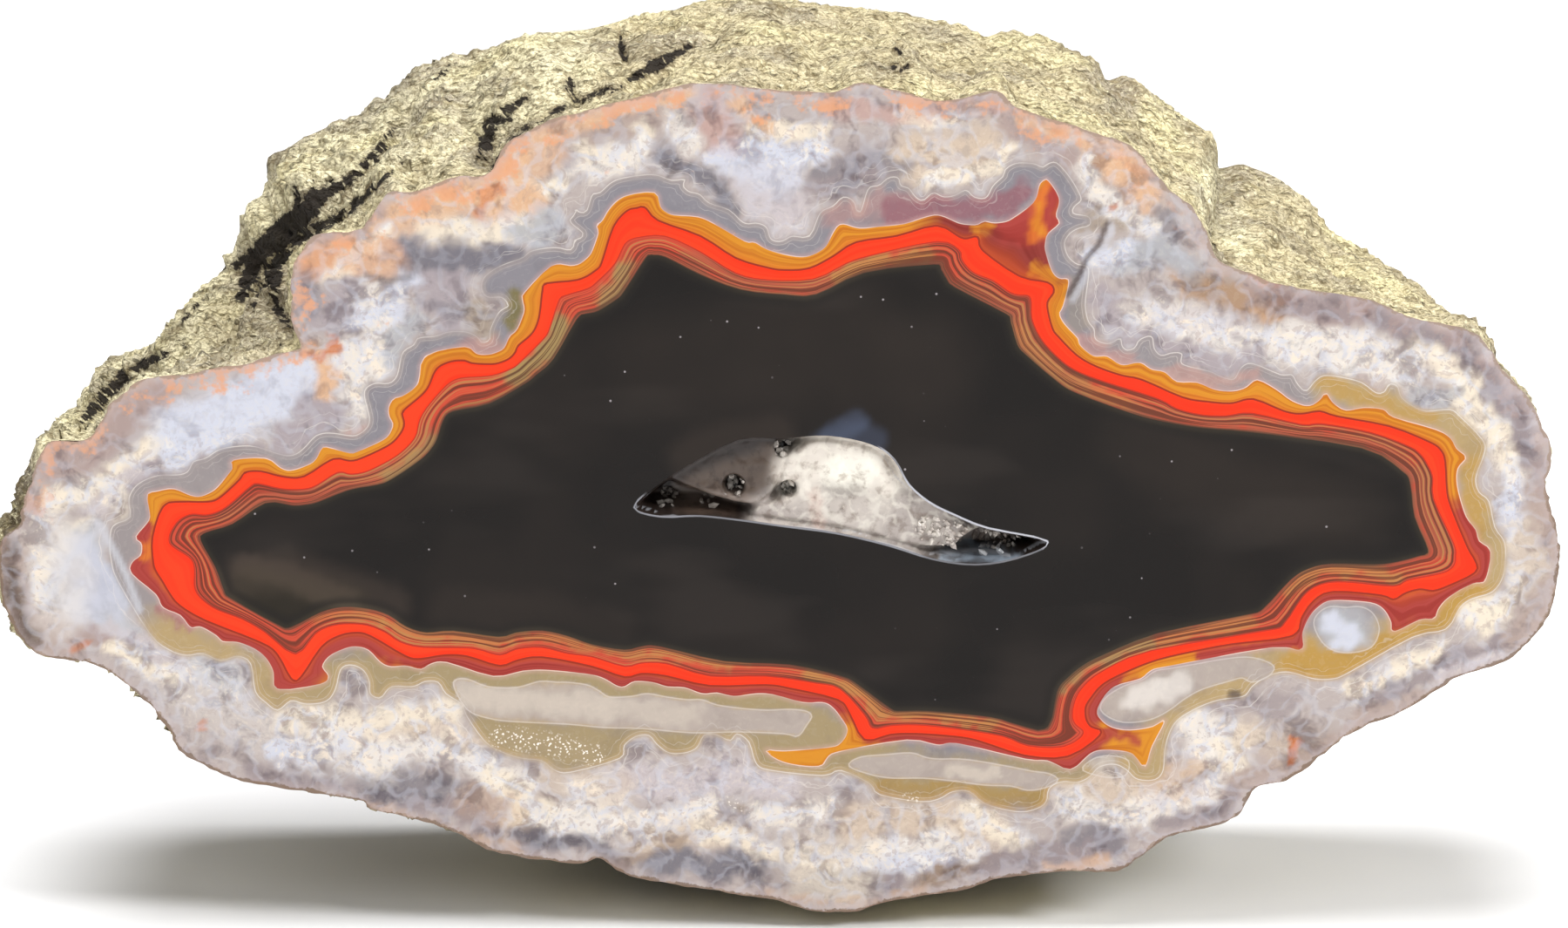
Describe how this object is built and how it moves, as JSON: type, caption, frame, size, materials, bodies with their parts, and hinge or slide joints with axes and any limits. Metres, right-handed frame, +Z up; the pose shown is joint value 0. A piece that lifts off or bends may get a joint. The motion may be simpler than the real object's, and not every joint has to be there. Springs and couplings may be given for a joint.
{
  "type": "polished agate slice",
  "caption": "Thick slice of a banded agate nodule with a polished face, rough skin, a crystal-lined hollow and a ground spot to stand on.",
  "frame": {"origin": "middle of the box around the stone, at the height of the ground flat it stands on", "axes": "+X along the stone's length, to the right as seen from the polished face; +Y through its thickness, from the polished face to the sawn back; +Z up"},
  "size_m": [0.0984, 0.021, 0.0564],
  "materials": {
    "banded_agate": "polished",
    "rough_skin": "rough",
    "sawn_agate": "sawn, matt",
    "drusy_quartz": "crystalline"
  },
  "bodies": {
    "root": {"agate_slice": "banded_agate", "quartz_crust": "drusy_quartz"}
  },
  "joints": []
}
